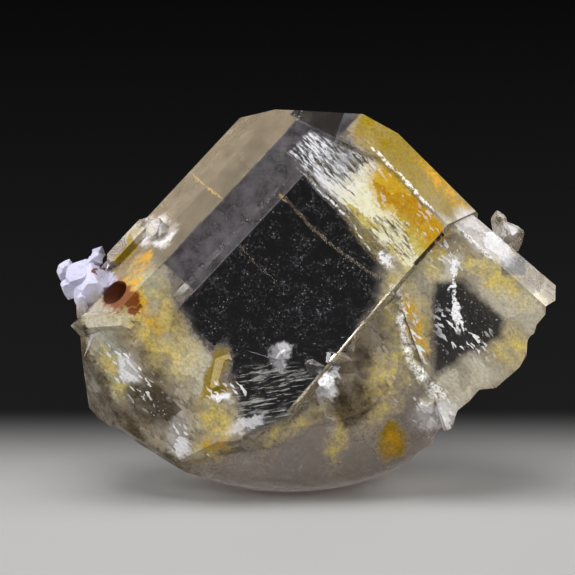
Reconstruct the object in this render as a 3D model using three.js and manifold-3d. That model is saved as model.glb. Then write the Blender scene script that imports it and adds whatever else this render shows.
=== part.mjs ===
// Faden quartz: a tabular quartz crystal grown side by side with a parallel neighbour, with small crystals on
// its edges and front face, and a broken, frosted lower side on which it stands. It is one piece of stone.
//
// The crystal is laid out in its own frame, in millimetres: x to the right and y up across the broad front
// face, z towards the viewer. At the end it is leant back and set down on its flat broken base, +Z up.

import * as THREE from "three";
import { ConvexGeometry } from "three/addons/geometries/ConvexGeometry.js";
import { ImprovedNoise } from "three/addons/math/ImprovedNoise.js";
import { mergeVertices } from "three/addons/utils/BufferGeometryUtils.js";
import Module from "manifold-3d";

const wasm = await Module();
wasm.setup();

// Driving dimensions
const THICKNESS = 21; // between the broad front face and the broad back face
const FRONT = THICKNESS / 2;
const BACK = -THICKNESS / 2;
const STEP = 0.9; // how far the neighbour's front face lies behind the main one
const LEAN = 12; // degrees, how far the broad faces lean back
const BASE_DEPTH = 23.5; // from the middle of the crystal down to the flat break that it stands on
const RHOMB_TILT = 38.2; // degrees between a prism face of quartz and the rhombohedron above it
const PRISM_TILT = 60; // degrees between neighbouring prism faces
const AXIS = 47; // degrees, the way that the crystal's long axis points across the front face
const LOWER_RIGHT = AXIS - 87; // degrees, the way that the prism faces opposite look
const SIDE_TILT = 66.9; // degrees that the side rhombohedron faces lean over
const SIDE_TOP = AXIS + 47.8; // degrees, the way that the side rhombohedron at the top looks
const SIDE_LEFT = AXIS + 132.2; // degrees, the way that the one at the left looks
const BIG = 60; // larger than the crystal, for cutting blocks

const radians = THREE.MathUtils.degToRad;
const noise = new ImprovedNoise();

// A flat face that looks along bearing, in degrees round the front face from the right, and leans over by tilt,
// where 0 faces the viewer, 90 faces sideways and 180 faces back. reach is how far from the middle it cuts
// the plane at level.
function face(bearing, tilt, reach, level = tilt > 90 ? BACK : FRONT) {
  const across = Math.sin(radians(tilt));
  const normal = new THREE.Vector3(
    across * Math.cos(radians(bearing)),
    across * Math.sin(radians(bearing)),
    Math.cos(radians(tilt)),
  );
  return { normal, distance: reach * across + level * normal.z };
}

// The convex body inside all the given faces: every corner is where three of them meet.
function bodyInside(faces) {
  const slack = 1e-6;
  const corners = [];
  for (let i = 0; i < faces.length; i++)
    for (let j = i + 1; j < faces.length; j++)
      for (let k = j + 1; k < faces.length; k++) {
        const [a, b, c] = [faces[i], faces[j], faces[k]];
        const bc = b.normal.clone().cross(c.normal);
        const volume = a.normal.dot(bc);
        if (Math.abs(volume) < slack) continue;
        const corner = bc
          .multiplyScalar(a.distance)
          .addScaledVector(c.normal.clone().cross(a.normal), b.distance)
          .addScaledVector(a.normal.clone().cross(b.normal), c.distance)
          .divideScalar(volume);
        if (faces.every((f) => f.normal.dot(corner) <= f.distance + slack)) corners.push(corner);
      }
  return new ConvexGeometry(corners);
}

// A closed geometry as a solid that can be joined and cut.
function solid(geometry) {
  const bare = new THREE.BufferGeometry().setAttribute("position", geometry.getAttribute("position"));
  if (geometry.index) bare.setIndex(geometry.index);
  const merged = mergeVertices(bare, 1e-4);
  const index = merged.index.array;
  const triVerts = [];
  for (let i = 0; i < index.length; i += 3) {
    const [a, b, c] = [index[i], index[i + 1], index[i + 2]];
    if (a !== b && b !== c && c !== a) triVerts.push(a, b, c);
  }
  const vertProperties = merged.getAttribute("position").array;
  return new wasm.Manifold(
    new wasm.Mesh({ numProp: 3, vertProperties, triVerts: new Uint32Array(triVerts) }),
  );
}

// A solid back as a three.js geometry.
function geometryOf(made) {
  const mesh = made.getMesh();
  return new THREE.BufferGeometry()
    .setAttribute("position", new THREE.BufferAttribute(mesh.vertProperties, 3))
    .setIndex(new THREE.BufferAttribute(mesh.triVerts, 1));
}

// The broad main crystal. Its long axis points to the upper right, so its prism faces look to the upper left
// and lower right, and both its pointed ends are cut off broad by a rhombohedron face.
function mainCrystal() {
  return bodyInside([
    face(0, 0, 0),
    face(0, 180, 0),
    face(AXIS + 90, PRISM_TILT, 16.25),
    face(AXIS + 90, 133.3, 11.2),
    face(LOWER_RIGHT, PRISM_TILT, 7.2),
    face(LOWER_RIGHT, 180 - PRISM_TILT, 7.2),
    face(45, RHOMB_TILT, 19.14),
    face(45, 90, 22.9),
    face(42.6, 126, 10.6),
    face(66, 36, 19.96),
    face(60.9, 90, 23.86),
    face(86.9, 88, 23.6),
    face(100.6, 90, 24.3),
    face(SIDE_TOP, 180 - SIDE_TILT, 19.3),
    face(227, RHOMB_TILT, 20.05),
    face(215, 65, 25.2),
    face(234.3, 74, 24.5),
    face(251.9, 94, 23.9),
    face(238.9, 90, 25.95),
    face(229, 126, 20),
    face(225, 90, 29.7),
    face(203, 92, 30.3),
    face(184.9, 90, 28.3),
    face(SIDE_LEFT, SIDE_TILT, 26.2),
    face(SIDE_LEFT, 180 - SIDE_TILT, 24.5),
    face(302.2, 32, 9.9),
    face(272, 60, 16.8),
    face(270, 90, 23.6),
    face(270, 112, 19),
  ]);
}

// The neighbour on the right, in parallel position: its front face is one step lower, and its end runs on in
// line with the main crystal's.
function neighbourCrystal() {
  const level = FRONT - STEP;
  return bodyInside([
    face(0, 0, 0, level),
    face(0, 180, 0, BACK + 1.8),
    face(48.2, RHOMB_TILT, 19.4, level),
    face(49.4, 90, 21.75),
    face(48, 126, 14.4),
    face(356, 90, 30.8),
    face(356, 118, 25.4),
    face(LOWER_RIGHT, 90, 26),
    face(LOWER_RIGHT - 3, 122, 19.4),
    face(200, 84, -11.0, level),
    face(217, 118, -8.6),
    face(AXIS + 90, 112, -8.2),
    face(268, 90, 26),
  ]);
}

// The massive foot under both: rounded off and frosted below, with a level part at the top that joins the
// front faces.
const FOOT_REACH = [25.5, 18.2, 12.2]; // half its width, height and depth before it is cut level
const FOOT_MIDDLE = [-2, -5.8, -1.8];
const FOOT_BLUNTNESS = 0.6; // under 1 flattens its front and back
const FOOT_LEFT = -15.5; // left of this the side faces of the main crystal are bare
const FOOT_FRONT = 9.35;
const FOOT_BACK = -9.75;
const FOOT_TOP = 4; // how high it reaches at its front; behind that it runs down by FOOT_SLOPE degrees
const FOOT_SLOPE = 15;

function foot() {
  const lump = new THREE.IcosahedronGeometry(1, 13);
  const points = lump.getAttribute("position");
  for (let i = 0; i < points.count; i++) {
    const z = points.getZ(i);
    points.setZ(i, Math.sign(z) * Math.abs(z) ** FOOT_BLUNTNESS);
  }
  lump.scale(...FOOT_REACH);
  lump.translate(...FOOT_MIDDLE);
  const room = bodyInside([
    face(0, 0, 0, FOOT_FRONT),
    face(0, 180, 0, FOOT_BACK),
    face(180, 90, -FOOT_LEFT),
    face(90, 90 + FOOT_SLOPE, FOOT_TOP, FOOT_FRONT),
    face(0, 90, BIG),
    face(270, 90, BIG),
  ]);
  return solid(roughen(lump, 6, 0.24)).intersect(solid(room));
}

// A small quartz crystal: a six-sided prism pointed at both ends. Alternate end faces are cut back a little,
// as rhombohedra of unequal size are. flat squeezes it along its depth.
function smallCrystal({ at, along, lift = 0, turn = 0, length, width, flat = 1, skew = 0.16 }) {
  const faces = [];
  const half = width / 2;
  for (let i = 0; i < 6; i++) {
    const around = i * 60;
    const prism = face(around, 90, half);
    faces.push(prism);
    for (const end of [1, -1]) {
      const odd = (i + (end > 0 ? 0 : 1)) % 2;
      const slope = face(around, end > 0 ? 90 - RHOMB_TILT : 90 + RHOMB_TILT, 0, 0);
      const tip = length / 2 - (odd ? 0 : skew * width);
      faces.push({ normal: slope.normal, distance: tip * Math.abs(slope.normal.z) });
    }
  }
  const geometry = bodyInside(faces);
  geometry.scale(1, flat, 1);
  geometry.rotateZ(radians(turn));
  geometry.rotateY(radians(90 - lift));
  geometry.rotateZ(radians(along));
  geometry.translate(...at);
  return geometry;
}

// Where the small crystals sit, and how they lie: along is the way that the long axis points across the
// front face, and lift is how far it points towards the viewer.
const SMALL_CRYSTALS = [
  // the milky pair on the left shoulder, with a grey chip beside it and a pale block below
  { at: [-28.2, 3.0, 2.4], along: 52, lift: 10, turn: 20, length: 7.6, width: 4.8, flat: 0.8 },
  { at: [-26.3, 5.3, 2.2], along: 66, lift: 6, turn: 5, length: 5.6, width: 3.0, flat: 0.7, skew: 0.3 },
  { at: [-29.2, 1.9, 2.6], along: 70, lift: 0, turn: 0, length: 4.4, width: 2.9 },
  { at: [-30.1, 3.9, 1.4], along: 74, lift: 0, turn: 10, length: 3.8, width: 2.0 },
  { at: [-26.4, 1.2, 3.4], along: 96, lift: 10, turn: 0, length: 9.0, width: 4.6 },
  // the long one that points left below them
  { at: [-24.9, -2.6, 9.4], along: 184, lift: -9, turn: 14, length: 10.6, width: 2.9, flat: 0.9, skew: 0.35 },
  { at: [-21.9, -1.7, 9.6], along: 178, lift: -4, turn: 0, length: 6.0, width: 2.0 },
  { at: [-27.9, -0.6, 5.4], along: 92, lift: 6, turn: 0, length: 4.2, width: 1.2 },
  // the slim one in parallel position, and the milky fan at its tip
  { at: [-22.0, 7.2, 2.6], along: AXIS, lift: 0, turn: 30, length: 9.6, width: 2.6 },
  { at: [-18.6, 8.8, 5.0], along: 78, lift: 22, turn: 15, length: 4.8, width: 3.0, flat: 0.8 },
  { at: [-17.6, 8.2, 5.6], along: 104, lift: 30, turn: 0, length: 4.4, width: 1.8 },
  { at: [-20.3, 9.4, 3.2], along: 60, lift: 10, turn: 0, length: 3.2, width: 1.3 },
  // the clear pair on the right edge
  { at: [25.5, 8.3, 3.6], along: 118, lift: 12, turn: 20, length: 5.8, width: 4.0, flat: 0.9 },
  { at: [24.3, 9.6, 2.8], along: 100, lift: 4, turn: 0, length: 4.4, width: 1.7 },
  // the clear pair lying on the front face, the tabs at its right end and the milky grains under it
  { at: [0.9, -7.9, 9.7], along: 8, lift: 6, turn: 14, length: 4.8, width: 2.9, flat: 0.8 },
  { at: [3.7, -6.9, 9.8], along: -8, lift: 2, turn: 0, length: 5.0, width: 2.3, flat: 0.8 },
  { at: [4.7, -5.1, 9.9], along: 100, lift: 14, turn: 0, length: 3.0, width: 0.8 },
  { at: [5.8, -5.2, 9.9], along: 80, lift: 14, turn: 0, length: 3.4, width: 1.3, flat: 0.6 },
  { at: [2.4, -9.6, 9.6], along: 300, lift: 12, turn: 25, length: 4.4, width: 2.3, flat: 0.8 },
  { at: [3.4, -11.2, 9.4], along: 280, lift: 10, turn: 0, length: 3.4, width: 1.7, flat: 0.8 },
  { at: [-3.0, -6.6, 10.4], along: 60, lift: 6, turn: 0, length: 2.6, width: 1.5, flat: 0.7 },
  // low crystals half sunk in the lower left
  { at: [-10.6, -8.7, 9.6], along: 74, lift: 3, turn: 30, length: 7.4, width: 2.7, flat: 0.9 },
  { at: [-10.7, -11.9, 10.0], along: 12, lift: 6, turn: 0, length: 2.4, width: 1.4 },
  { at: [-14.8, -17.0, 5.9], along: 66, lift: 20, turn: 0, length: 4.0, width: 2.6 },
  { at: [-11.5, -17.6, 7.6], along: 92, lift: 4, turn: 0, length: 4.6, width: 1.8 },
];

// Moves every corner of a cutting block's geometry by noise, so that what it leaves is broken stone.
function roughen(geometry, size, height) {
  const merged = mergeVertices(geometry.deleteAttribute("normal").deleteAttribute("uv"), 1e-4);
  const points = merged.getAttribute("position");
  const point = new THREE.Vector3();
  for (let i = 0; i < points.count; i++) {
    point.fromBufferAttribute(points, i);
    const at = point.clone().divideScalar(size);
    const coarse = 1 - 2 * Math.abs(noise.noise(at.x, at.y, at.z));
    const fine = noise.noise(at.x * 2.7 + 9, at.y * 2.7, at.z * 2.7);
    const side = noise.noise(at.x + 31, at.y + 17, at.z);
    point.x += height * 0.6 * side;
    point.y += height * 0.6 * fine;
    point.z += height * (coarse + 0.5 * fine);
    points.setXYZ(i, point.x, point.y, point.z);
  }
  return merged;
}

// The broken lower right edge of the front view, from the right tip down: the stone is snapped off there.
const BROKEN_EDGE = [
  [31.4, 2.2],
  [30.9, 0.3],
  [29.7, -0.4],
  [29.6, -1.6],
  [28.4, -2.8],
  [28.2, -3.9],
  [27.4, -4.5],
  [27.4, -6.5],
  [26.3, -8.0],
  [24.9, -9.4],
  [23.5, -10.5],
  [21.4, -10.8],
  [20.3, -12.1],
  [18.7, -13.4],
  [18.3, -14.3],
  [18.0, -15.4],
  [16.3, -16.5],
  [16.1, -17.8],
  [13.9, -18.9],
  [12.9, -20.3],
  [10.6, -21.4],
  [9.0, -24.0],
];

// The block outside that edge.
function brokenSide() {
  const outside = [...BROKEN_EDGE, [9, -BIG], [BIG, -BIG], [BIG, 2.2]];
  const outline = new THREE.Shape(outside.map(([x, y]) => new THREE.Vector2(x, y)));
  const depth = 30;
  const block = new THREE.ExtrudeGeometry(outline, { depth, steps: 16, bevelEnabled: false });
  block.translate(0, 0, -depth / 2);
  return solid(roughen(block, 3.2, 0.5));
}

// Shallow shell-shaped chips struck off the lower right edge and the right tip.
const CHIPS = [
  { at: [33.6, -3.2, 8.6], radius: 4.4 },
  { at: [30.8, -8.4, 3.4], radius: 4.4 },
  { at: [27.4, -13.0, 12.6], radius: 4.6 },
  { at: [21.6, -14.8, 12.4], radius: 4.0 },
  { at: [20.4, -18.2, 4.2], radius: 4.6 },
  { at: [17.0, -22.0, 9.5], radius: 4.6 },
  { at: [26.5, -13.0, -6.0], radius: 5.6 },
  { at: [19.5, -20.0, -7.0], radius: 6.0 },
];

function chip({ at, radius }) {
  const ball = new THREE.IcosahedronGeometry(radius, 4);
  ball.deleteAttribute("normal");
  ball.deleteAttribute("uv");
  ball.translate(...at);
  return solid(ball);
}

// The seam where the two crystals meet on the front is choked with icy shards, down to a patch of them at the
// broken edge.
const SHARDS = [
  { at: [11.0, 2.0, 9.1], along: 118, lift: 10, turn: 10, length: 3.4, width: 1.0 },
  { at: [11.7, 0.2, 9.0], along: 84, lift: 14, turn: 50, length: 3.8, width: 1.5, flat: 0.7 },
  { at: [11.6, -2.2, 9.1], along: 66, lift: 6, turn: 15, length: 2.6, width: 1.1 },
  { at: [12.1, -4.0, 8.9], along: 108, lift: 12, turn: 35, length: 4.6, width: 1.7, flat: 0.7 },
  { at: [12.7, -6.3, 8.9], along: 72, lift: 20, turn: 0, length: 3.0, width: 1.8 },
  { at: [13.4, -7.9, 8.8], along: 136, lift: 8, turn: 25, length: 4.4, width: 1.5 },
  { at: [14.7, -9.3, 8.7], along: 98, lift: 24, turn: 5, length: 4.0, width: 2.4, flat: 0.8 },
  { at: [16.4, -11.0, 8.4], along: 128, lift: 14, turn: 40, length: 4.2, width: 2.2, flat: 0.8 },
  { at: [15.2, -12.6, 7.6], along: 40, lift: 26, turn: 20, length: 3.6, width: 2.4 },
  { at: [17.0, -13.2, 7.2], along: 160, lift: 30, turn: 30, length: 3.4, width: 2.0 },
  { at: [15.6, -14.9, 6.0], along: 104, lift: 36, turn: 10, length: 3.6, width: 2.2, flat: 0.8 },
];

// The narrow slot along the step between the front faces.
const SLOT = { at: [15.2, 6.6, FRONT - STEP], length: 5.2, width: 0.5, height: 2.4 };

function slot() {
  const cut = new THREE.BoxGeometry(SLOT.length, SLOT.width, SLOT.height);
  cut.rotateZ(radians(AXIS));
  cut.translate(...SLOT.at);
  return solid(cut);
}

// The rust-lined pit among the small crystals on the left.
const PIT = { at: [-23.3, 0.9, 6.6], reach: [2.0, 1.8, 2.6] };

function pit() {
  const ball = new THREE.IcosahedronGeometry(1, 5).scale(...PIT.reach);
  ball.deleteAttribute("normal");
  ball.deleteAttribute("uv");
  ball.translate(...PIT.at);
  return solid(ball);
}

// The block under the flat break that the stone stands on, level once the stone leans back.
function belowBase() {
  const block = new THREE.BoxGeometry(2 * BIG, 2 * BIG, BIG);
  block.translate(0, 0, -BASE_DEPTH - BIG / 2);
  return solid(block);
}

// Stands the crystal up, leaning back, with +Z up and the viewer on the -Y side.
function stoodUp(made) {
  const geometry = geometryOf(made);
  geometry.rotateX(radians(90 - LEAN));
  return solid(geometry);
}

// Puts the middle of the base's surrounding box at the origin.
function setDown(geometry) {
  geometry.computeBoundingBox();
  const { min, max } = geometry.boundingBox;
  return geometry.translate(-(min.x + max.x) / 2, -(min.y + max.y) / 2, -min.z);
}

function specimen() {
  let stone = solid(mainCrystal()).add(solid(neighbourCrystal())).add(foot());
  stone = stone.subtract(brokenSide());
  for (const c of CHIPS) stone = stone.subtract(chip(c));
  stone = stone.subtract(slot());
  for (const c of [...SMALL_CRYSTALS, ...SHARDS]) stone = stone.add(solid(smallCrystal(c)));
  stone = stone.subtract(pit());
  stone = stoodUp(stone).subtract(belowBase());
  const [largest] = stone.decompose().sort((a, b) => b.volume() - a.volume());
  return setDown(geometryOf(largest));
}

const quartz = new THREE.Mesh(
  specimen(),
  new THREE.MeshStandardMaterial({ color: 0xe6dfc8, roughness: 0.12, metalness: 0 }),
);
quartz.name = "faden_quartz";

const group = new THREE.Group();
group.add(quartz);

export default group;
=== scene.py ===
from math import cos, pi, radians, sin

import bmesh
import bpy
from mathutils import Matrix, Vector, noise


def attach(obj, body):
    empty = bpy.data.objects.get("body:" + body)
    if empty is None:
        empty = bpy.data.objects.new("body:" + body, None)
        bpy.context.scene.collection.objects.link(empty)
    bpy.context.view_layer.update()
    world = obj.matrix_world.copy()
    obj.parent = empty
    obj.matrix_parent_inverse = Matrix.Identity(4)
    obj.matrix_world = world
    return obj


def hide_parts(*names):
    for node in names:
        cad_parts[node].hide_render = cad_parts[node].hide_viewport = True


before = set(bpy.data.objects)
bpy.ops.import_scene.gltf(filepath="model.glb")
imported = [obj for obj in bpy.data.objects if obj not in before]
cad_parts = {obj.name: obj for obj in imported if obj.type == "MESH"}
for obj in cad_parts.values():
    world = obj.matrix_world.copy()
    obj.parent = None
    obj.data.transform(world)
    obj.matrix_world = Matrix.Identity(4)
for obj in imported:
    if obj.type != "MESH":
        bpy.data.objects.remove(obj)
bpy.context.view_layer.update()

# The view. The broad front face leans back as much as the camera looks down, so the camera meets it square,
# from far off with a long lens, as close-up pictures of minerals are taken. The crystal's own frame, in which
# all its places are given below in millimetres, is x right, y up the front face and z out of it.
MM = 0.001
LEAN = radians(12)
MIDDLE = Vector((0.12, 0.12, 23.5)) * MM
TO_ROW = Matrix.Translation(MIDDLE) @ Matrix.Rotation(pi / 2 - LEAN, 4, "X") @ Matrix.Scale(MM, 4)
VIEW_WIDTH = 72.45
VIEW_MIDDLE = Vector((-2.27, 1.83, 0))
LENS = 250
SENSOR = 36
NEAREST = 0.01

camera_data = bpy.data.cameras.new("camera")
camera_data.lens = LENS
camera_data.sensor_width = SENSOR
camera_data.clip_start = NEAREST
camera = bpy.data.objects.new("camera", camera_data)
away = Vector((0, 0, VIEW_WIDTH * LENS / SENSOR))
stand = Matrix.Translation(TO_ROW @ (VIEW_MIDDLE + away))
camera.matrix_world = stand @ Matrix.Rotation(pi / 2 - LEAN, 4, "X")
bpy.context.scene.collection.objects.link(camera)
bpy.context.scene.camera = camera


# The floor is a pale sheet whose colour turns to painted shade behind the stone, so that the clear quartz
# shows dark there. Soft boxes stand above it, in front, at both sides and behind.
FLOOR_PALE = (0.36, 0.355, 0.35, 1)
FLOOR_SHADE = (0.0025, 0.0025, 0.003, 1)
FLOOR_SIZE = 3.0
SHADE_FROM = -0.004
SHADE_TO = 0.040
ROOM_SHADE = (0.004, 0.0042, 0.005, 1)


# Shader maths for the floor and for all that follows: a Wire is one output of a node, and sums on wires add
# Math nodes. The sockets of a Mix node share their names, so its colours are found by number.
class Wire:
    MIX_FACTOR = 0
    MIX_UNDER = 6
    MIX_OVER = 7
    MIX_COLOUR = 2

    def __init__(self, tree, socket=None):
        self.tree = tree
        self.socket = socket

    def node(self, kind, settings=None, inputs=None, output=0):
        made = self.tree.nodes.new(kind)
        for name, value in (settings or {}).items():
            if name == "stops":
                ramp = made.color_ramp
                while len(ramp.elements) < len(value):
                    ramp.elements.new(0.5)
                for stop, (at, colour) in zip(ramp.elements, value):
                    stop.position = at
                    stop.color = (*colour, 1)
            else:
                setattr(made, name, value)
        for name, value in (inputs or {}).items():
            if isinstance(value, Wire):
                self.tree.links.new(value.socket, made.inputs[name])
            else:
                made.inputs[name].default_value = value
        return Wire(self.tree, made.outputs[output])

    def maths(self, operation, *values, clamp=False):
        inputs = dict(enumerate(values))
        return self.node("ShaderNodeMath", {"operation": operation, "use_clamp": clamp}, inputs)

    def __add__(self, other):
        return self.maths("ADD", self, other)

    def __radd__(self, other):
        return self.maths("ADD", other, self)

    def __sub__(self, other):
        return self.maths("SUBTRACT", self, other)

    def __rsub__(self, other):
        return self.maths("SUBTRACT", other, self)

    def __mul__(self, other):
        return self.maths("MULTIPLY", self, other)

    def __rmul__(self, other):
        return self.maths("MULTIPLY", other, self)

    def either(self, other):
        return self.maths("MAXIMUM", self, other)

    def both(self, other):
        return self.maths("MINIMUM", self, other)

    def rise(self, low, high):
        settings = {"interpolation_type": "SMOOTHSTEP"}
        return self.node("ShaderNodeMapRange", settings, {"Value": self, "From Min": low, "From Max": high})

    def blend(self, under, over):
        inputs = {self.MIX_FACTOR: self, self.MIX_UNDER: under, self.MIX_OVER: over}
        return self.node("ShaderNodeMix", {"data_type": "RGBA"}, inputs, self.MIX_COLOUR)


def new_material(name):
    material = bpy.data.materials.new(name)
    material.use_nodes = True
    material.node_tree.nodes.clear()
    return material, Wire(material.node_tree)


def finish_material(wire, surface, volume=None):
    made = wire.tree.nodes.new("ShaderNodeOutputMaterial")
    wire.tree.links.new(surface.socket, made.inputs["Surface"])
    if volume:
        wire.tree.links.new(volume.socket, made.inputs["Volume"])


bm = bmesh.new()
bmesh.ops.create_grid(bm, x_segments=1, y_segments=1, size=FLOOR_SIZE / 2)
floor_mesh = bpy.data.meshes.new("floor")
bm.to_mesh(floor_mesh)
bm.free()
floor = bpy.data.objects.new("floor", floor_mesh)
bpy.context.scene.collection.objects.link(floor)
# The floor's colour is pale in front and painted shade behind the stone.
floor_material, wire = new_material("pale_floor_painted_shade")
at = wire.node("ShaderNodeTexCoord", output="Object")
back = wire.node("ShaderNodeSeparateXYZ", inputs={"Vector": at}, output="Y")
pale = wire.node("ShaderNodeBsdfPrincipled", inputs={
    "Base Color": back.rise(SHADE_FROM, SHADE_TO).blend(FLOOR_PALE, FLOOR_SHADE),
    "Roughness": 0.8,
    "Specular IOR Level": 0.1,
})
finish_material(wire, pale)
floor_mesh.materials.append(floor_material)

world = bpy.data.worlds.new("studio")
world.use_nodes = True
world.node_tree.nodes["Background"].inputs["Color"].default_value = ROOM_SHADE
bpy.context.scene.world = world


def soft_box(name, place, size, power, colour=(1, 1, 1)):
    data = bpy.data.lights.new(name, "AREA")
    data.shape = "RECTANGLE"
    data.size, data.size_y = size
    data.energy = power
    data.color = colour
    lamp = bpy.data.objects.new(name, data)
    lamp.location = place
    lamp.rotation_euler = (MIDDLE - Vector(place)).to_track_quat("-Z", "Y").to_euler()
    bpy.context.scene.collection.objects.link(lamp)


soft_box("top_light", (-0.05, -0.06, 0.42), (0.34, 0.26), 1.5)
soft_box("left_light", (-0.36, -0.10, 0.20), (0.22, 0.26), 1.4)
soft_box("right_light", (0.36, -0.04, 0.22), (0.22, 0.26), 1.1)
soft_box("back_left_light", (-0.30, 0.26, 0.20), (0.20, 0.22), 0.12, (1, 0.92, 0.80))
soft_box("back_right_light", (0.28, 0.28, 0.24), (0.20, 0.22), 0.25)
soft_box("front_light", (0.10, -0.62, 0.40), (0.24, 0.18), 0.8)


# The stone itself: one clear quartz specimen of several crystals grown into each other. Its growth faces are
# flat and bright, its broken side and underside are dull and uneven, and iron has stained it. Its mesh is the
# solid's own, with the broken and rounded parts divided finer and roughened.
WELD = 2e-6
SAME_PLANE = radians(0.2)
FLAT_TURN = radians(0.4)
SOFT_TURN = radians(32)
GROWTH_AREA = 6 * MM ** 2
FINER_CUTS = 2
SMOOTHINGS = 3
ROUGH_HEIGHT = 0.10 * MM

bm = bmesh.new()
bm.from_mesh(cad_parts["faden_quartz"].data)
bmesh.ops.remove_doubles(bm, verts=bm.verts, dist=WELD)
bmesh.ops.dissolve_degenerate(bm, edges=bm.edges, dist=WELD)
bmesh.ops.dissolve_limit(bm, angle_limit=SAME_PLANE, verts=bm.verts, edges=bm.edges)
bm.normal_update()


def turn(edge):
    return edge.calc_face_angle(pi) if len(edge.link_faces) == 2 else pi


def growth_faces(mesh):
    found = set()
    seen = set()
    for start in mesh.faces:
        if start in seen:
            continue
        plane = [start]
        seen.add(start)
        for f in plane:
            for e in f.edges:
                if turn(e) < FLAT_TURN:
                    fresh = [g for g in e.link_faces if g not in seen]
                    seen.update(fresh)
                    plane.extend(fresh)
        soft = any(FLAT_TURN <= turn(e) < SOFT_TURN for f in plane for e in f.edges)
        if sum(f.calc_area() for f in plane) > GROWTH_AREA or not soft:
            found.update(plane)
    return found


rough_mark = bm.faces.layers.int.new("rough")
growth = growth_faces(bm)
for f in bm.faces:
    f[rough_mark] = f not in growth
inner = [e for e in bm.edges if all(f[rough_mark] for f in e.link_faces)]
bmesh.ops.subdivide_edges(bm, edges=inner, cuts=FINER_CUTS, use_grid_fill=True)
bmesh.ops.triangulate(bm, faces=[f for f in bm.faces if len(f.verts) > 3])
bm.normal_update()
loose = [v for v in bm.verts if all(f[rough_mark] for f in v.link_faces)]
for _ in range(SMOOTHINGS):
    bmesh.ops.smooth_vert(bm, verts=loose, factor=0.5, use_axis_x=True, use_axis_y=True, use_axis_z=True)
bm.normal_update()
for v in loose:
    at = v.co / MM
    bumps = noise.noise(at * 0.9) + 0.5 * noise.noise(at * 2.1)
    v.co -= v.normal * ROUGH_HEIGHT * (1 + bumps)
bm.normal_update()

# Each face tells the material what it is: broken or grown, how far it looks forward, and whether it belongs
# to the upper left bevel or to the side of the step between the two crystals.
kind_mark = bm.loops.layers.float_color.new("kind")
step_mark = bm.loops.layers.float_color.new("step")
INTO_STONE = TO_ROW.inverted().to_3x3().normalized()


def looking(bearing, tilt):
    turned = Matrix.Rotation(radians(bearing), 3, "Z") @ Matrix.Rotation(radians(tilt), 3, "Y")
    return turned @ Vector((0, 0, 1))


BEVEL = looking(137, 60)
BEVEL_SPREAD = radians(9)
STEP_SIDE = looking(-40, 60)
STEP_SPREAD = radians(6)
for e in bm.edges:
    e.smooth = all(f[rough_mark] for f in e.link_faces) and turn(e) < SOFT_TURN
for f in bm.faces:
    f.smooth = bool(f[rough_mark])
    out = INTO_STONE @ f.normal
    dull = 1.0 if f[rough_mark] else 0.0
    forward = 0.5 + 0.5 * out.z
    bevel = 1.0 if out.angle(BEVEL) < BEVEL_SPREAD else 0.0
    step = 1.0 if out.angle(STEP_SIDE) < STEP_SPREAD else 0.0
    for loop in f.loops:
        loop[kind_mark] = (dull, forward, bevel, 1.0)
        loop[step_mark] = (step, step, step, 1.0)
stone_mesh = bpy.data.meshes.new("quartz_stone")
bm.to_mesh(stone_mesh)
bm.free()
stone = bpy.data.objects.new("quartz_stone", stone_mesh)
bpy.context.scene.collection.objects.link(stone)
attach(stone, "root")
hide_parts("faden_quartz")

# Its windows, dark places, veil and rim are bounded by straight lines on the crystal's own plane, each given
# by the bearing of its outward side and its distance from the middle. The dark places are painted shade on
# the surface, standing for the dark that is seen through clear depth.
WINDOW = ((137, 16.2), (45, 18.6), (-36, 7.8), (222, 13.0), (180, 17.6))
LOW_WINDOW = ((90, -2.0), (-36, 7.8), (-71, 13.6), (193, 11.6))
SIDE_WINDOW = ((47, 15.9), (-8, 25.2), (-60, 16.4), (180, -15.2), (90, 3.3))
DARK_TOP = ((243, -19.6), (-20, -3.4), (137, 17.5))
LINED_WINDOW = ((0, 27.4), (180, -24.0), (90, 5.8), (270, -3.2))
SQUARE_WINDOW = ((50, -20.6), (230, 23.2), (-40, -4.2), (140, 6.6))
SWATH = ((225, -11.3), (45, 19.0), (137, 14.4), (-47, 6.2), (66, 19.7))
BAND = ((137, 16.3), (317, -10.8), (227, 8.6))
STEP_RIM = ((-41, 7.55), (139, -6.95), (229, 11.8), (49, 18.0))
FACET = ((45, -20.1), (225, 22.7), (-45, -1.4), (135, 5.6))

# Its stains, haze, painted shade and painted highlights are rounded patches on the same plane, each given by
# its place right and up, its turn in degrees, and its half length and half width. A stain with two tones is
# mottled with them.
RUST_TONES = ((0.05, 0.010, 0.003, 1), (0.24, 0.050, 0.008, 1))
RUST = (
    (-23.4, 0.8, 0, 1.7, 2.0),
    (-21.6, 0.4, -30, 1.2, 1.2),
    (-20.8, -1.0, 20, 1.0, 0.5),
    (-25.6, 4.3, 0, 0.4, 0.4),
)
ORANGE_TONES = ((0.42, 0.18, 0.002, 1), (0.74, 0.42, 0.015, 1))
ORANGE = (
    (-19.7, -1.0, -60, 3.0, 1.0),
    (-20.2, 5.0, 40, 1.6, 0.7),
    (-22.0, 2.6, 30, 1.6, 0.8),
    (13.4, -2.5, -70, 3.4, 1.1),
    (10.7, -17.2, 75, 2.0, 1.1),
    (16.8, 14.8, -45, 4.0, 0.7),
    (-11.2, -17.6, 0, 1.4, 0.8),
)
YELLOW_TONES = ((0.44, 0.31, 0.03, 1), (0.86, 0.69, 0.20, 1))
YELLOW = (
    (12.6, -1.6, -68, 6.0, 2.4),
    (-18.4, -2.6, -62, 6.6, 3.4),
    (-11.8, -16.0, 80, 4.2, 2.4),
    (4.1, -16.9, 80, 3.2, 1.3),
    (-1.7, -15.4, 35, 4.0, 1.3),
    (25.5, -6.0, -40, 3.6, 2.0),
    (23.0, 3.4, -40, 5.0, 1.5),
    (16.0, 5.5, -50, 3.6, 2.0),
    (-24.0, -17.2, 0, 0.9, 1.2),
    (10.0, -10.0, 60, 6.0, 2.6),
    (-24.0, -9.0, -60, 3.6, 1.4),
)
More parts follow.
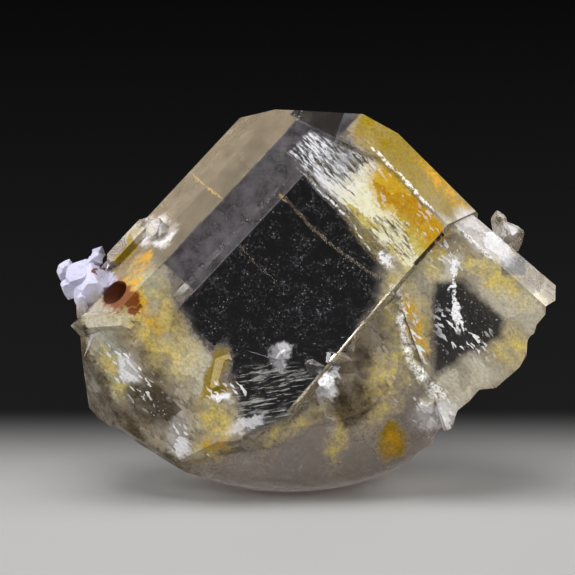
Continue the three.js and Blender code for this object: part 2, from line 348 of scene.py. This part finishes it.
OLIVE_TONES = ((0.19, 0.115, 0.001, 1), (0.36, 0.25, 0.003, 1))
OLIVE = (
    (14.0, 16.6, -42, 9.0, 3.4),
    (9.0, 20.4, -41, 3.5, 2.2),
    (-21.6, 7.4, 48, 3.6, 0.8),
    (-11.0, -8.8, 75, 3.6, 1.3),
    (10.6, -17.3, 75, 2.9, 1.8),
)
TEAL_TONES = ((0.20, 0.23, 0.21, 1), (0.42, 0.46, 0.42, 1))
TEAL = (
    (-23.6, -8.6, -60, 4.6, 2.6),
    (-19.0, 2.0, 0, 1.8, 2.0),
    (7.6, 13.2, -45, 2.6, 1.1),
    (12.5, -6.5, -70, 4.0, 1.6),
)
# Milky white quartz; the patch at (18.0, 4.7) is painted glints, a highlight.
WHITE_TONES = ((0.62, 0.60, 0.63, 1), (0.95, 0.94, 0.95, 1))
WHITE = (
    (22.0, 8.2, -42, 4.4, 1.9),
    (2.6, -10.0, 20, 1.3, 1.8),
    (-3.0, -6.6, -30, 1.0, 1.7),
    (-18.6, 8.7, 0, 2.2, 1.9),
    (16.2, -14.1, 0, 3.0, 1.8),
    (18.0, 4.7, 60, 2.2, 1.0),
    (-15.9, -17.1, 0, 1.4, 2.2),
    (-7.6, -15.2, 20, 2.6, 0.6),
    (-10.6, -11.8, 0, 1.1, 0.6),
    (10.0, 5.0, -45, 1.3, 0.8),
    (25.6, 8.9, 0, 1.0, 1.4),
    (-22.0, -8.5, 10, 1.0, 1.8),
)
# Painted highlights: crisp white flashes where the stone catches the light.
PAINTED_FLASH_TONE = (0.98, 0.98, 1.0, 1)
PAINTED_FLASHES = (
    (18.8, -1.0, -84, 2.7, 0.50),
    (18.1, 2.8, 80, 1.5, 0.34),
    (19.4, -2.4, -50, 1.0, 0.22),
    (18.0, 4.6, 70, 1.2, 0.35),
    (10.2, 4.9, -50, 1.2, 0.30),
    (-10.5, -11.8, 5, 0.8, 0.30),
    (2.7, -9.7, 60, 1.5, 0.9),
    (3.4, -8.6, 100, 1.0, 0.6),
)
# Patches where painted glints, small white highlights, are scattered.
PAINTED_GLINT_TONE = (0.95, 0.94, 0.92, 1)
PAINTED_GLINT_PATCHES = (
    (-21.8, -8.6, -50, 5.0, 2.2),
    (15.0, -12.6, -40, 5.0, 3.0),
    (13.2, -4.0, -70, 6.0, 1.4),
    (19.6, -4.0, -40, 4.0, 2.4),
    (-15.6, -17.0, 0, 1.6, 2.0),
    (17.4, 6.0, -40, 3.0, 2.0),
    (-9.4, -11.0, 10, 3.0, 1.6),
)
LILAC_TONE = (0.68, 0.67, 0.88, 1)
LILAC = (
    (-28.2, 4.3, 0, 3.2, 4.6),
    (-24.8, 2.2, 0, 1.4, 1.4),
)
CREAM_TONES = ((0.40, 0.35, 0.25, 1), (0.74, 0.69, 0.54, 1))
CREAM = (
    (-24.9, -2.6, 8, 6.4, 1.5),
    (-26.2, 0.2, 0, 2.2, 2.2),
    (17.4, 9.6, -38, 2.2, 0.9),
    (25.0, 0.5, -40, 8.0, 3.0),
    (20.0, -9.5, 30, 6.0, 3.4),
    (14.0, 4.0, 50, 5.0, 3.0),
    (-14.0, -8.5, -55, 5.0, 2.6),
)
# White seams between the crystals, and painted highlights along the upper right ridges.
SEAM_AND_HIGHLIGHT_TONE = (0.90, 0.88, 0.84, 1)
SEAMS_AND_RIDGE_HIGHLIGHTS = (
    (9.5, 17.8, -46, 2.3, 0.23),
    (13.4, 13.8, -47, 3.5, 0.23),
    (21.2, 7.0, -44, 3.3, 0.25),
    (10.1, 5.2, -47, 1.3, 0.50),
    (2.6, 13.0, -45, 4.7, 0.15),
    (6.9, 8.0, -58, 2.1, 0.15),
    (11.3, 0.8, -68, 1.6, 0.55),
    (11.9, -2.0, -90, 1.5, 0.55),
    (12.4, -5.3, -75, 2.1, 0.55),
    (13.9, -8.5, -54, 1.7, 0.65),
    (15.9, -10.9, -43, 1.7, 0.75),
)
OCHRE_TONE = (0.50, 0.33, 0.09, 1)
OCHRE = (
    (-13.3, 15.3, -43, 1.1, 0.20),
    (-11.5, 13.6, -45, 1.5, 0.20),
    (-2.8, 12.9, -50, 0.6, 0.28),
)
# Dark brown: brown stain at the lower left edge, and painted shade where clear facets show dark.
BROWN_TONES = ((0.022, 0.015, 0.007, 1), (0.10, 0.072, 0.040, 1))
BROWN = (
    (-24.6, -15.6, -38, 7.0, 3.0),
    (-17.8, -20.0, -38, 7.0, 1.4),
    (-19.2, -12.4, -50, 3.4, 2.4),
    (-26.2, -11.2, 0, 2.2, 3.2),
    (-27.6, -5.6, 10, 1.0, 4.6),
    (5.6, -12.3, 0, 2.8, 3.4),
)
GROUND_STOPS = (
    (0.30, (0.16, 0.125, 0.085)),
    (0.48, (0.42, 0.34, 0.24)),
    (0.70, (0.76, 0.69, 0.56)),
)
BROKEN_TONES = ((0.46, 0.37, 0.32, 1), (0.78, 0.66, 0.59, 1))
BEVEL_TONES = ((0.36, 0.27, 0.155, 1), (0.56, 0.43, 0.27, 1))
WINDOW_TONE = (0.34, 0.32, 0.35, 1)
# Painted shade: the grey-violet band and the darkest places over the clear stone.
SHADED_BAND_TONES = ((0.035, 0.032, 0.038, 1), (0.13, 0.12, 0.135, 1))
SHADOW_TONE = (0.014, 0.012, 0.011, 1)
SILVER_TONES = ((0.55, 0.56, 0.60, 1), (0.92, 0.92, 0.95, 1))
STRAW_TONES = ((0.56, 0.43, 0.04, 1), (0.95, 0.91, 0.66, 1))
IRON_TONES = ((0.46, 0.20, 0.003, 1), (0.74, 0.48, 0.03, 1))
RIM_TONES = ((0.14, 0.115, 0.075, 1), (0.40, 0.34, 0.22, 1))
DUST_TONE = (0.70, 0.66, 0.62, 1)
ALONG_SWATH = (0.72, -0.69, 0)
ACROSS_SWATH = (0.69, 0.72, 0)
QUARTZ_IOR = 1.544
ABSORBED = (0.93, 0.90, 0.80, 1)
ABSORPTION = 8.0


def in_crystal(wire):
    spot = wire.node("ShaderNodeTexCoord", output="Object")
    return wire.node("ShaderNodeMapping", {"vector_type": "TEXTURE"}, {
        "Vector": spot,
        "Location": MIDDLE,
        "Rotation": (pi / 2 - LEAN, 0, 0),
        "Scale": (MM, MM, MM),
    })


def grain(wire, at, scale, detail=5.0, rough=0.6, stretch=(1, 1, 1), spin=0.0):
    if stretch != (1, 1, 1):
        at = wire.node("ShaderNodeMapping", {"vector_type": "TEXTURE"}, {
            "Vector": at,
            "Rotation": (0, 0, radians(spin)),
            "Scale": stretch,
        })
    inputs = {"Vector": at, "Scale": scale, "Detail": detail, "Roughness": rough}
    return wire.node("ShaderNodeTexNoise", inputs=inputs)


def parts(wire, colour, names):
    return [wire.node("ShaderNodeSeparateColor", inputs={"Color": colour}, output=name) for name in names]


def shards(wire, at, scale, stretch, spin):
    here = wire.node("ShaderNodeMapping", {"vector_type": "TEXTURE"}, {
        "Vector": at,
        "Rotation": (0, 0, radians(spin)),
        "Scale": stretch,
    })
    cell = wire.node("ShaderNodeTexVoronoi", inputs={"Vector": here, "Scale": scale}, output="Color")
    return parts(wire, cell, ("Red", "Green"))


def run_along(wire, at, way):
    return wire.node("ShaderNodeVectorMath", {"operation": "DOT_PRODUCT"}, {0: at, 1: way}, output="Value")


def patches(wire, at, rows, edge=0.3):
    total = None
    for right, up, spin, long, wide in rows:
        here = wire.node("ShaderNodeMapping", {"vector_type": "TEXTURE"}, {
            "Vector": at,
            "Location": (right, up, 0),
            "Rotation": (0, 0, radians(spin)),
            "Scale": (long * (1 + edge), wide * (1 + edge), 1000),
        })
        settings = {"gradient_type": "SPHERICAL"}
        ball = wire.node("ShaderNodeTexGradient", settings, {"Vector": here}, output="Fac")
        one = ball.rise(0, 2 * edge / (1 + edge))
        total = one if total is None else total.either(one)
    return total


def bounded(wire, at, lines, soft):
    depth = None
    for bearing, reach in lines:
        outward = (cos(radians(bearing)), sin(radians(bearing)), 0)
        inside = reach - run_along(wire, at, outward)
        depth = inside if depth is None else depth.both(inside)
    return depth.rise(0, soft)


quartz, wire = new_material("stained_quartz")
at = in_crystal(wire)
kinds = wire.node("ShaderNodeAttribute", {"attribute_name": "kind"}, output="Color")
rough, front, bevel = parts(wire, kinds, ("Red", "Green", "Blue"))
step_side = wire.node("ShaderNodeAttribute", {"attribute_name": "step"}, output="Fac")

# Two warped copies of the place on the crystal, so that no edge is ruled: one strays far, one a little.
moved = wire.node("ShaderNodeVectorMath", {"operation": "ADD"}, {0: at, 1: (40, 70, 0)})
sideways = 3.0 * grain(wire, at, 0.35, 3.0, 0.5) + 1.4 * grain(wire, at, 1.7, 3.0, 0.5) - 2.2
upwards = 3.0 * grain(wire, moved, 0.35, 3.0, 0.5) + 1.4 * grain(wire, moved, 1.7, 3.0, 0.5) - 2.2
shift = wire.node("ShaderNodeCombineXYZ", inputs={"X": sideways, "Y": upwards})
nudge = wire.node("ShaderNodeCombineXYZ", inputs={"X": 0.35 * sideways, "Y": 0.35 * upwards})
uneven = wire.node("ShaderNodeMapping", inputs={"Vector": at, "Location": shift})
near = wire.node("ShaderNodeMapping", inputs={"Vector": at, "Location": nudge})

cloud = grain(wire, at, 0.55, 5.0, 0.66)
crumb = grain(wire, at, 2.6, 4.0, 0.7)
streak = grain(wire, at, 1.3, 4.0, 0.72, (1.9, 0.34, 1.9), -46)
pane, other_pane = shards(wire, uneven, 0.42, (1.6, 0.8, 1.0), -46)
glint, gap = shards(wire, near, 2.1, (1.6, 0.55, 1.0), -50)
facing = front.rise(0.40, 0.52)
dusty = crumb.rise(0.20, 0.75)
webbed = cloud.rise(0.35, 0.62)

# The ground: clear in the windows, hazy between them, milky where it is broken and on the bevel.
window = bounded(wire, uneven, WINDOW, 1.2)
window = window.either(bounded(wire, uneven, LOW_WINDOW, 1.5))
window = window.either(bounded(wire, uneven, SIDE_WINDOW, 1.5))
window = window.either(bounded(wire, at, DARK_TOP, 0.3))
window = window.either(bounded(wire, at, LINED_WINDOW, 0.4))
window = window.either(bounded(wire, at, SQUARE_WINDOW, 0.3))
mush = (1 - window) * (1 - rough) * (1 - bevel)
milky = (1 - window) * (0.55 + 0.35 * webbed)
milky = milky.either(rough * (0.75 + 0.25 * webbed)).either(bevel * 0.75)
mist = grain(wire, at, 3.2, 2.0, 0.8).rise(0.47, 0.80)
misty = window * (0.01 + 0.30 * mist * cloud.rise(0.40, 0.62)) * facing
haze = grain(wire, at, 0.4, 3.0, 0.55)
ground = wire.node("ShaderNodeValToRGB", {"stops": GROUND_STOPS}, {
    "Fac": haze * 0.70 + crumb * 0.10 + pane * 0.16 + 0.02,
})
ground = rough.blend(ground, crumb.rise(0.3, 0.7).blend(*BROKEN_TONES))
# On the upper left bevel a tan mottle is painted in for the light that comes through the stone from behind.
ground = bevel.blend(ground, haze.rise(0.3, 0.7).blend(*BEVEL_TONES))
colour = window.blend(ground, WINDOW_TONE)
# Painted shade: a grey-violet band and the darkest places in the windows, painted over the clear stone where
# it shows dark.
shaded_band = bounded(wire, at, BAND, 0.3) * facing
shadow = bounded(wire, at, DARK_TOP, 0.3)
shadow = shadow.either(bounded(wire, near, SIDE_WINDOW, 1.2) * 0.95)
shadow = shadow.either(bounded(wire, at, FACET, 0.15) * 0.8)
shadow = shadow.either(bounded(wire, at, LINED_WINDOW, 0.3) * 0.7) * facing
clearer = 1 - 0.75 * gap.rise(0.80, 0.86) * mush
cover = (0.16 * milky).either(misty).either(mush * (0.26 + 0.26 * pane)) * clearer
shaded_band_tone = cloud.rise(0.3, 0.75).blend(*SHADED_BAND_TONES)
colour = shadow.blend(shaded_band.blend(colour, shaded_band_tone), SHADOW_TONE)
cover = cover.either(shaded_band * 0.86).either(shadow * (0.93 - 0.5 * mist))


# Lays one kind of stain, painted shade or painted highlight over the colour and the cover so far, in one tone
# or in a mottle of two.
def layer(under, covered, rows, tones, strength, pattern, where=uneven, edge=0.3):
    mask = patches(wire, where, rows, edge) * pattern * facing
    single = len(tones) == 4
    shown = mask.blend(under, tones if single else dusty.blend(*tones))
    return shown, 1 - (1 - covered) * (1 - mask * strength)


soft = 0.3 + 0.7 * webbed
lit = 1 - shadow
colour, cover = layer(colour, cover, CREAM, CREAM_TONES, 0.62, (0.6 + 0.4 * pane) * lit, edge=0.5)
colour, cover = layer(colour, cover, TEAL, TEAL_TONES, 0.75, 0.4 + 0.6 * other_pane, edge=0.6)
yellowed = soft * (0.7 + 0.3 * other_pane) * lit
colour, cover = layer(colour, cover, YELLOW, YELLOW_TONES, 0.85, yellowed, edge=0.6)
colour, cover = layer(colour, cover, OLIVE, OLIVE_TONES, 0.97, 0.80 + 0.20 * other_pane, edge=0.25)
colour, cover = layer(colour, cover, ORANGE, ORANGE_TONES, 0.85, soft, edge=0.5)

# The broad veil across the upper middle: silver at its upper left, then straw yellow, with iron at its edge.
along = run_along(wire, uneven, ALONG_SWATH)
across = run_along(wire, uneven, ACROSS_SWATH)
swath = bounded(wire, near, SWATH, 0.6) * facing
ironed = across.rise(14.4, 16.4) * along.rise(-7.0, -4.0)
strawed = along.rise(-9.5, -3.5)
gaps = streak + 0.07 * strawed + 0.25 * ironed + 0.12 * pane - 0.04
swath = swath * gaps.rise(0.45, 0.56)
silvery = other_pane.blend(*SILVER_TONES)
strawy = (other_pane * 0.4 + crumb * 0.6).rise(0.28, 0.76).blend(*STRAW_TONES)
irony = (other_pane * 0.3 + crumb * 0.7).rise(0.2, 0.8).blend(*IRON_TONES)
swath_colour = ironed.blend(strawed.blend(silvery, strawy), irony)
colour = swath.blend(colour, swath_colour)
cover = 1 - (1 - cover) * (1 - swath * 0.92)

colour, cover = layer(colour, cover, LILAC, LILAC_TONE, 0.62, 0.9 + 0.1 * cloud)
colour, cover = layer(colour, cover, RUST, RUST_TONES, 1.0, 0.85 + 0.15 * dusty)
colour, cover = layer(colour, cover, BROWN, BROWN_TONES, 0.92, 0.75 + 0.25 * webbed)
colour, cover = layer(colour, cover, WHITE, WHITE_TONES, 0.85, 0.35 + 0.65 * pane, edge=0.35)
# The white flashes are painted highlights.
colour, cover = layer(colour, cover, PAINTED_FLASHES, PAINTED_FLASH_TONE, 1.0, crumb.rise(0.36, 0.46), edge=0.2)
# Seams, and painted highlights along the ridges.
colour, cover = layer(colour, cover, SEAMS_AND_RIDGE_HIGHLIGHTS, SEAM_AND_HIGHLIGHT_TONE, 0.92, crumb.rise(0.42, 0.54), near)
# The side of the step and a strip along its edge get a dull tan mottle, painted shade that hides the light
# the clear step would let through.
rim = step_side.either(bounded(wire, at, STEP_RIM, 0.15) * facing)
colour = rim.blend(colour, crumb.rise(0.35, 0.65).blend(*RIM_TONES))
cover = cover.either(rim * 0.93)
colour, cover = layer(colour, cover, OCHRE, OCHRE_TONE, 0.85, crumb.rise(0.42, 0.56), near)

# Painted highlights: small white glints scattered over these patches and over the veil.
painted_glint_zone = patches(wire, uneven, PAINTED_GLINT_PATCHES, 0.5)
painted_glints = glint.rise(0.86, 0.90) * painted_glint_zone.either(swath * webbed * 0.6) * facing
colour = painted_glints.blend(colour, PAINTED_GLINT_TONE)
cover = cover.either(painted_glints * 0.85)
specks = wire.node("ShaderNodeTexVoronoi", inputs={"Vector": at, "Scale": 2.2})
dust = specks.rise(0.24, 0.12) * cloud.rise(0.40, 0.62) * facing * window * (1 - shaded_band)
colour = dust.blend(colour, DUST_TONE)
cover = cover.either(dust * 0.40)

# Clear glass, milky glass and an opaque skin of stains, painted shade and painted highlights, mixed by the
# haze and the cover.
ripple = wire.node("ShaderNodeBump", inputs={"Strength": 0.4, "Distance": 0.0004, "Height": crumb * rough})
clear = wire.node("ShaderNodeBsdfPrincipled", inputs={
    "Base Color": (1, 1, 1, 1),
    "Roughness": 0.0,
    "IOR": QUARTZ_IOR,
    "Transmission Weight": 1.0,
})
milk = wire.node("ShaderNodeBsdfPrincipled", inputs={
    "Base Color": colour,
    "Roughness": 0.24,
    "IOR": QUARTZ_IOR,
    "Specular IOR Level": 0.3,
    "Transmission Weight": 0.82,
    "Normal": ripple,
})
stained = wire.node("ShaderNodeBsdfPrincipled", inputs={
    "Base Color": colour,
    "Roughness": 0.22 + 0.3 * rough,
    "IOR": QUARTZ_IOR,
    "Specular IOR Level": 0.12,
    "Normal": ripple,
})
body = wire.node("ShaderNodeMixShader", inputs={0: milky * facing.either(rough), 1: clear, 2: milk})
mixed = wire.node("ShaderNodeMixShader", inputs={0: cover, 1: body, 2: stained})
tint = wire.node("ShaderNodeVolumeAbsorption", inputs={"Color": ABSORBED, "Density": ABSORPTION})
finish_material(wire, mixed, tint)
stone_mesh.materials.append(quartz)


# The veils: thin wavy films of tiny bubbles and iron stain that healed cracks left inside the clear quartz.
# Each lies inside the stone, fades out at its ends and is see-through between its streaks.
FILM_THICKNESS = 0.04
LEVEL_WITHIN = 1e-6
FILM_CUTS = 24
FILM_WAVE = 0.5
WAVE_SCALE = 0.25
FILM_SILVER = ((0.88, 0.89, 0.92, 1), (0.74, 0.73, 0.66, 1))
FILM_STRAW = ((0.86, 0.78, 0.44, 1), (0.80, 0.60, 0.16, 1))


def film(name, middle, spin, tilt, size, tones, density, across=0.4, along=3.6):
    made = bmesh.new()
    bmesh.ops.create_cube(made, size=1)
    bmesh.ops.scale(made, verts=made.verts, vec=(*size, FILM_THICKNESS))
    flat = [e for e in made.edges if abs(e.verts[0].co.z - e.verts[1].co.z) < LEVEL_WITHIN]
    bmesh.ops.subdivide_edges(made, edges=flat, cuts=FILM_CUTS, use_grid_fill=True)
    for v in made.verts:
        v.co.z += FILM_WAVE * noise.noise(Vector((v.co.x, v.co.y, 3)) * WAVE_SCALE)
    turned = Matrix.Rotation(radians(spin), 4, "Z") @ Matrix.Rotation(radians(tilt), 4, "X")
    bmesh.ops.transform(made, matrix=TO_ROW @ Matrix.Translation(middle) @ turned, verts=made.verts)
    bmesh.ops.recalc_face_normals(made, faces=made.faces)
    mesh = bpy.data.meshes.new(name)
    made.to_mesh(mesh)
    made.free()
    thing = bpy.data.objects.new(name, mesh)
    bpy.context.scene.collection.objects.link(thing)
    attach(thing, "root")
    material, wire = new_material(name)
    at = in_crystal(wire)
    streaks = grain(wire, at, 1.0, 6.0, 0.72, (along, across, along), spin)
    blots = grain(wire, at, 0.9, 4.0, 0.6)
    ends = patches(wire, at, ((middle[0], middle[1], spin, size[0] / 2.4, size[1] / 2.4),))
    body = wire.node("ShaderNodeBsdfPrincipled", inputs={
        "Base Color": blots.rise(0.4, 0.6).blend(*tones),
        "Roughness": 0.3,
        "Alpha": streaks.rise(*density) * ends,
    })
    finish_material(wire, body)
    mesh.materials.append(material)


film("silver_veil", (4.0, 15.8, 7.4), -46, 8, (15, 7.0), FILM_SILVER, (0.42, 0.54))
film("straw_veil", (9.4, 8.8, 7.0), -50, 8, (14.5, 6.4), FILM_STRAW, (0.36, 0.48))
film("feather_veil", (20.5, -2.6, 5.5), -70, 14, (10, 7), FILM_SILVER, (0.50, 0.62), 0.5, 2.4)
film("ice_streaks", (-4.5, -11.2, 6.5), 10, -14, (13, 8.0), FILM_SILVER, (0.50, 0.62), 0.35, 2.6)


# The faden: the thread of tiny fluid-filled breaks that runs through the crystal and gives it its name. It is
# a chain of short pale cross plates along a wavering line inside the stone.
THREAD = (
    (-6.5, 16.5, 3.0),
    (-2.6, 13.1, 3.4),
    (0.4, 9.6, 3.8),
    (3.2, 7.1, 4.2),
    (7.2, 4.2, 4.6),
    (10.3, 2.5, 5.0),
)
SECOND_THREAD = (
    (-8.5, 7.3, 1.0),
    (-5.7, 4.2, 1.4),
    (-3.6, 2.6, 1.8),
)
THREAD_TONES = ((0.62, 0.55, 0.46, 1), (0.78, 0.62, 0.36, 1))
PLATE_PITCH = 0.22
PLATE_THICKNESS = 0.10
WANDER = 0.16


def thread(name, points, width, alpha):
    made = bmesh.new()
    for start, end in zip(points, points[1:]):
        run = Vector(end) - Vector(start)
        count = max(2, int(run.length / PLATE_PITCH))
        for i in range(count):
            spot = Vector(start) + run * (i + 0.5) / count
            stray = (noise.noise(spot * 2.0), noise.noise(spot * 2.0 + Vector((9, 0, 0))), 0)
            moved = Matrix.Translation(spot + Vector(stray) * WANDER)
            size = width * (0.75 + 0.5 * noise.noise(spot * 3.0))
            along = run.to_track_quat("X", "Z").to_matrix().to_4x4()
            tilt = Matrix.Rotation(0.5 * noise.noise(spot * 5.0) + 0.35, 4, "Z")
            plate = Matrix.Diagonal((PLATE_THICKNESS, size, size * 0.8, 1))
            bmesh.ops.create_cube(made, size=1, matrix=TO_ROW @ moved @ along @ tilt @ plate)
    mesh = bpy.data.meshes.new(name)
    made.to_mesh(mesh)
    made.free()
    thing = bpy.data.objects.new(name, mesh)
    bpy.context.scene.collection.objects.link(thing)
    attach(thing, "root")
    material, wire = new_material(name)
    at = in_crystal(wire)
    spots = grain(wire, at, 1.3, 3.0, 0.6)
    body = wire.node("ShaderNodeBsdfPrincipled", inputs={
        "Base Color": spots.rise(0.4, 0.65).blend(*THREAD_TONES),
        "Roughness": 0.4,
        "Alpha": alpha * grain(wire, at, 2.2, 4.0, 0.7).rise(0.30, 0.60),
    })
    finish_material(wire, body)
    mesh.materials.append(material)


thread("faden_thread", THREAD, 0.6, 0.85)
thread("second_thread", SECOND_THREAD, 0.3, 0.45)

bpy.context.scene.view_settings.view_transform = "Standard"
